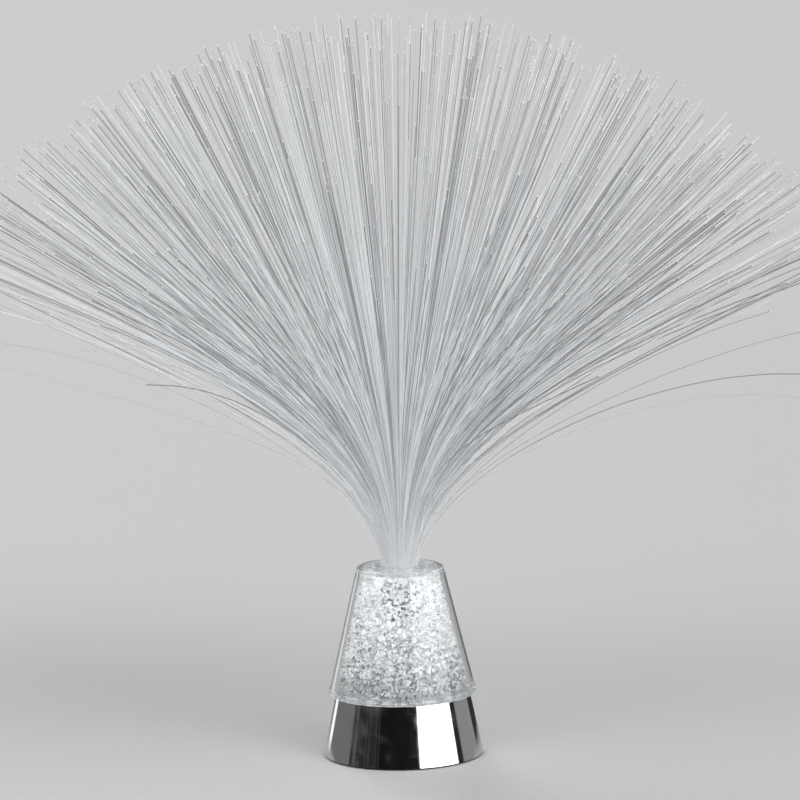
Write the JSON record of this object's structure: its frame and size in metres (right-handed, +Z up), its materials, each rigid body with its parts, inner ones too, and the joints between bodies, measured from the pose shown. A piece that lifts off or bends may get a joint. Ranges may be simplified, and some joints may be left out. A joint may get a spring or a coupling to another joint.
{
  "type": "fiber optic lamp",
  "caption": "Battery fiber optic lamp: a chrome base and a clear cone filled with crystal chips hold a lift-out plug with a round spray of fine plastic fibres.",
  "frame": {"origin": "on the ground under the middle of the base", "axes": "+Z up through the cone and the spray; +X along the cells, away from the battery door's hinge; the switch is on the -Y side of the bottom"},
  "size_m": [0.4078, 0.4062, 0.3374],
  "materials": {
    "chrome_plate": "mirror chrome plating on moulded plastic",
    "black_plastic": "fine-grained black moulding",
    "rubber": "matt",
    "steel": "bright zinc plated",
    "cell_jacket": "plain printed jacket, satin",
    "contact_plate": "nickel plated",
    "switch_plastic": "satin",
    "brass": "tinned brass",
    "board": "white solder mask",
    "led_lens": "white package with a pale yellow lens",
    "chip_plastic": "moulded epoxy",
    "white_plastic": "smooth white moulding",
    "red_lead": "insulated wire",
    "yellow_lead": "insulated wire",
    "black_lead": "insulated wire",
    "clear_plastic": "clear polished acrylic",
    "crystal": "clear cut acrylic chips",
    "foam": "closed-cell foam",
    "seal_rubber": "translucent silicone",
    "ferrule": "shrunk sleeve",
    "fibre": "drawn acrylic fibre"
  },
  "bodies": {
    "base": {"base_shell": "chrome_plate", "bottom_cover": "black_plastic", "rubber_feet": "rubber", "cover_screws": "steel", "battery_cell_1": "cell_jacket", "battery_cell_2": "cell_jacket", "battery_cell_3": "cell_jacket", "contact_positive_end": "contact_plate", "contact_negative_end": "contact_plate", "contact_bridge_left": "contact_plate", "contact_bridge_right": "contact_plate", "battery_springs": "steel", "door_hinge_pins": "steel", "switch_housing": "switch_plastic", "switch_terminals": "brass", "lamp_board": "board", "board_screws": "steel", "leds": "led_lens", "controller_chip": "chip_plastic", "resistors": "chip_plastic", "light_reflector": "white_plastic", "lead_battery_to_switch": "red_lead", "lead_switch_to_board": "yellow_lead", "lead_battery_to_board": "black_lead", "clear_cone": "clear_plastic", "crystal_tray": "clear_plastic", "socket_tube": "clear_plastic", "crystal_fill": "crystal"},
    "battery_door": {"battery_door": "black_plastic", "door_foam_pad": "foam"},
    "switch_knob": {"switch_knob": "switch_plastic"},
    "plug_ring": {"plug_ring": "seal_rubber"},
    "spray": {"spray_plug": "clear_plastic", "bundle_ferrule": "ferrule", "fibre_middle": "fibre", "fibre_ring_1": "fibre", "fibre_ring_2": "fibre", "fibre_ring_3": "fibre", "fibre_ring_4": "fibre", "fibre_ring_5": "fibre", "fibre_ring_6": "fibre", "fibre_ring_7": "fibre", "fibre_ring_8": "fibre"}
  },
  "joints": [
    {"name": "spray_lift", "type": "slide", "parent": "base", "child": "plug_ring", "axis": [0, 0, 1], "range_m": [0, 0.03]},
    {"name": "spray_turn", "type": "hinge", "parent": "plug_ring", "child": "spray", "pos_m": [0, 0, 0.0858], "axis": [0, 0, 1], "continuous": true},
    {"name": "battery_door_tilt", "type": "hinge", "parent": "base", "child": "battery_door", "pos_m": [-0.0253, 0, 0.0017], "axis": [0, 1, 0], "range_deg": [0, 60]},
    {"name": "switch_slide", "type": "slide", "parent": "base", "child": "switch_knob", "axis": [1, 0, 0], "range_m": [0, 0.002]}
  ]
}
